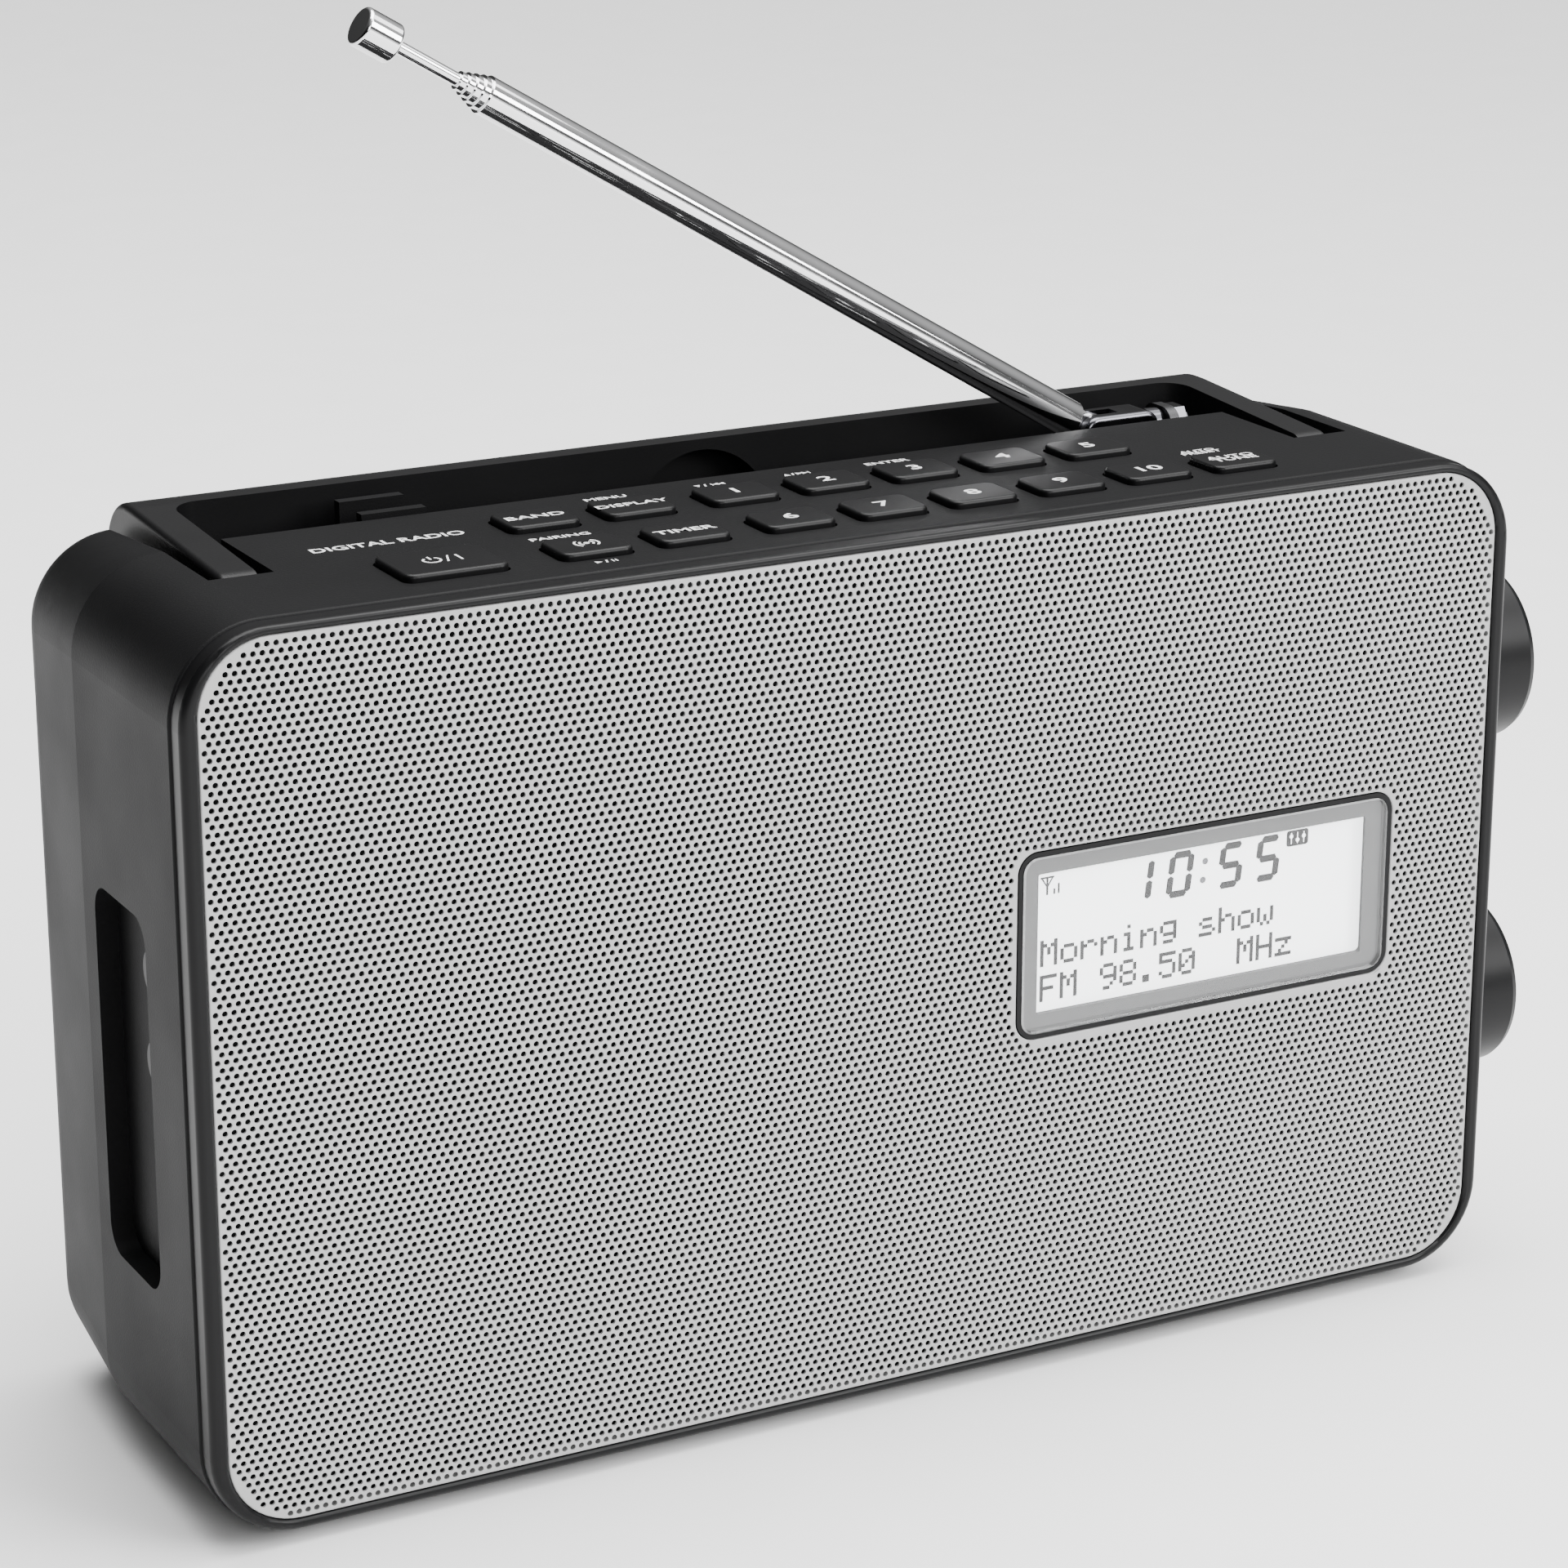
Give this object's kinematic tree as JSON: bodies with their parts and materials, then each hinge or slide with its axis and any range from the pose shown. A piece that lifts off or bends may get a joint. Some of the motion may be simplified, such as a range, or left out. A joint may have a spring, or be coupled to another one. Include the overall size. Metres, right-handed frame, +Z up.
{
  "type": "tabletop radio",
  "caption": "Wide portable tabletop radio with a perforated silver front, small lit display, top keys, two side knobs, folding carry handle and telescopic antenna.",
  "frame": {"origin": "bottom centre of the whole object's box, on the table under the rubber feet", "axes": "+X to the right seen from the front, +Y from the front face to the back, +Z up"},
  "size_m": [0.2684, 0.086, 0.2444],
  "materials": {
    "black_plastic": "fine-grained matte black moulding",
    "black_satin": "satin black rim",
    "grille_paint": "light silver paint on pressed perforated sheet",
    "lens": "clear glossy lens with a printed grey border",
    "display": "white backlit display",
    "key_plastic": "satin black key caps",
    "knob_plastic": "smooth matte black",
    "handle_plastic": "fine-grained matte black",
    "chrome": "bright plated tube",
    "dark_chrome": "dark glossy swivel block",
    "steel": "zinc-plated steel",
    "black_steel": "black-coated steel",
    "nickel": "nickel-plated spring steel",
    "circuit_board": "green board",
    "board_parts": "assorted board components",
    "laminated_core": "varnished laminations and winding",
    "cone_paper": "black pulp cone",
    "ferrite": "grey ferrite",
    "socket_plastic": "glossy black insulator",
    "rubber": "soft matte rubber"
  },
  "bodies": {
    "cabinet": {"front_frame": "black_satin", "speaker_grille": "grille_paint", "front_cabinet": "black_plastic", "top_panel": "black_plastic", "rear_cabinet": "black_plastic", "case_screws": "steel", "rubber_feet": "rubber", "display_lens": "lens", "lcd_holder": "black_satin", "lcd_panel": "display", "key_board": "circuit_board", "key_switches": "board_parts", "volume_control": "board_parts", "tuning_control": "board_parts", "speaker_basket": "steel", "speaker_cone": "cone_paper", "speaker_magnet": "ferrite", "speaker_screws": "steel", "handle_pins": "steel", "antenna_bracket": "black_steel", "main_board": "circuit_board", "main_board_parts": "board_parts", "mains_transformer": "laminated_core", "battery_box": "black_plastic", "battery_contacts": "nickel", "mains_inlet": "socket_plastic", "mains_pins": "steel", "headphone_jack": "socket_plastic", "aux_jack": "socket_plastic"},
    "power_key": {"power_key": "key_plastic"},
    "band_key": {"band_key": "key_plastic"},
    "menu_key": {"menu_key": "key_plastic"},
    "wireless_key": {"wireless_key": "key_plastic"},
    "timer_key": {"timer_key": "key_plastic"},
    "auto_tune_key": {"auto_tune_key": "key_plastic"},
    "preset_1_key": {"preset_1_key": "key_plastic"},
    "preset_6_key": {"preset_6_key": "key_plastic"},
    "preset_2_key": {"preset_2_key": "key_plastic"},
    "preset_7_key": {"preset_7_key": "key_plastic"},
    "preset_3_key": {"preset_3_key": "key_plastic"},
    "preset_8_key": {"preset_8_key": "key_plastic"},
    "preset_4_key": {"preset_4_key": "key_plastic"},
    "preset_9_key": {"preset_9_key": "key_plastic"},
    "preset_5_key": {"preset_5_key": "key_plastic"},
    "preset_10_key": {"preset_10_key": "key_plastic"},
    "volume_knob": {"volume_knob": "knob_plastic", "volume_shaft": "steel"},
    "tuning_knob": {"tuning_knob": "knob_plastic", "tuning_shaft": "steel"},
    "handle": {"handle": "handle_plastic"},
    "antenna_swivel": {"antenna_swivel": "dark_chrome", "antenna_pivot_pin": "chrome"},
    "antenna_section_1": {"antenna_section_1": "chrome"},
    "antenna_section_2": {"antenna_section_2": "chrome"},
    "antenna_section_3": {"antenna_section_3": "chrome"},
    "antenna_section_4": {"antenna_section_4": "chrome"},
    "antenna_section_5": {"antenna_section_5": "chrome"},
    "antenna_section_6": {"antenna_section_6": "chrome", "antenna_tip": "chrome"},
    "battery_door": {"battery_door": "black_plastic"}
  },
  "joints": [
    {"name": "power_press", "type": "slide", "parent": "cabinet", "child": "power_key", "axis": [0, 0, -1], "range_m": [0, 0.0008], "stiffness_N_per_m": 1500},
    {"name": "band_press", "type": "slide", "parent": "cabinet", "child": "band_key", "axis": [0, 0, -1], "range_m": [0, 0.0008], "stiffness_N_per_m": 1500},
    {"name": "menu_press", "type": "slide", "parent": "cabinet", "child": "menu_key", "axis": [0, 0, -1], "range_m": [0, 0.0008], "stiffness_N_per_m": 1500},
    {"name": "wireless_press", "type": "slide", "parent": "cabinet", "child": "wireless_key", "axis": [0, 0, -1], "range_m": [0, 0.0008], "stiffness_N_per_m": 1500},
    {"name": "timer_press", "type": "slide", "parent": "cabinet", "child": "timer_key", "axis": [0, 0, -1], "range_m": [0, 0.0008], "stiffness_N_per_m": 1500},
    {"name": "auto_tune_press", "type": "slide", "parent": "cabinet", "child": "auto_tune_key", "axis": [0, 0, -1], "range_m": [0, 0.0008], "stiffness_N_per_m": 1500},
    {"name": "preset_1_press", "type": "slide", "parent": "cabinet", "child": "preset_1_key", "axis": [0, 0, -1], "range_m": [0, 0.0008], "stiffness_N_per_m": 1500},
    {"name": "preset_6_press", "type": "slide", "parent": "cabinet", "child": "preset_6_key", "axis": [0, 0, -1], "range_m": [0, 0.0008], "stiffness_N_per_m": 1500},
    {"name": "preset_2_press", "type": "slide", "parent": "cabinet", "child": "preset_2_key", "axis": [0, 0, -1], "range_m": [0, 0.0008], "stiffness_N_per_m": 1500},
    {"name": "preset_7_press", "type": "slide", "parent": "cabinet", "child": "preset_7_key", "axis": [0, 0, -1], "range_m": [0, 0.0008], "stiffness_N_per_m": 1500},
    {"name": "preset_3_press", "type": "slide", "parent": "cabinet", "child": "preset_3_key", "axis": [0, 0, -1], "range_m": [0, 0.0008], "stiffness_N_per_m": 1500},
    {"name": "preset_8_press", "type": "slide", "parent": "cabinet", "child": "preset_8_key", "axis": [0, 0, -1], "range_m": [0, 0.0008], "stiffness_N_per_m": 1500},
    {"name": "preset_4_press", "type": "slide", "parent": "cabinet", "child": "preset_4_key", "axis": [0, 0, -1], "range_m": [0, 0.0008], "stiffness_N_per_m": 1500},
    {"name": "preset_9_press", "type": "slide", "parent": "cabinet", "child": "preset_9_key", "axis": [0, 0, -1], "range_m": [0, 0.0008], "stiffness_N_per_m": 1500},
    {"name": "preset_5_press", "type": "slide", "parent": "cabinet", "child": "preset_5_key", "axis": [0, 0, -1], "range_m": [0, 0.0008], "stiffness_N_per_m": 1500},
    {"name": "preset_10_press", "type": "slide", "parent": "cabinet", "child": "preset_10_key", "axis": [0, 0, -1], "range_m": [0, 0.0008], "stiffness_N_per_m": 1500},
    {"name": "volume_turn", "type": "hinge", "parent": "cabinet", "child": "volume_knob", "pos_m": [0.1224, -0.0202, 0.1154], "axis": [1, 0, 0], "continuous": true},
    {"name": "tuning_turn", "type": "hinge", "parent": "cabinet", "child": "tuning_knob", "pos_m": [0.1224, -0.0202, 0.05], "axis": [1, 0, 0], "continuous": true},
    {"name": "handle_lift", "type": "hinge", "parent": "cabinet", "child": "handle", "pos_m": [-0.0062, -0.01, 0.1556], "axis": [1, 0, 0], "range_deg": [0, 28]},
    {"name": "antenna_turn", "type": "hinge", "parent": "cabinet", "child": "antenna_swivel", "pos_m": [0.0838, 0.017, 0.1562], "axis": [1, 0, 0], "range_deg": [-35, 35]},
    {"name": "antenna_tilt", "type": "hinge", "parent": "antenna_swivel", "child": "antenna_section_1", "pos_m": [0.0698, 0.017, 0.1562], "axis": [0, 1, 0], "range_deg": [-30.4, 59.6]},
    {"name": "antenna_slide_2", "type": "slide", "parent": "antenna_section_1", "child": "antenna_section_2", "axis": [-0.8625, 0, 0.506], "range_m": [0, 0.1]},
    {"name": "antenna_slide_3", "type": "slide", "parent": "antenna_section_2", "child": "antenna_section_3", "axis": [-0.8625, 0, 0.506], "range_m": [0, 0.1]},
    {"name": "antenna_slide_4", "type": "slide", "parent": "antenna_section_3", "child": "antenna_section_4", "axis": [-0.8625, 0, 0.506], "range_m": [0, 0.1]},
    {"name": "antenna_slide_5", "type": "slide", "parent": "antenna_section_4", "child": "antenna_section_5", "axis": [-0.8625, 0, 0.506], "range_m": [0, 0.1]},
    {"name": "antenna_slide_6", "type": "slide", "parent": "antenna_section_5", "child": "antenna_section_6", "axis": [-0.8625, 0, 0.506], "range_m": [-0.011, 0.1]},
    {"name": "battery_door_swing", "type": "hinge", "parent": "cabinet", "child": "battery_door", "pos_m": [-0.0342, 0.0419, 0.0374], "axis": [-1, 0, 0], "range_deg": [0, 80]}
  ]
}
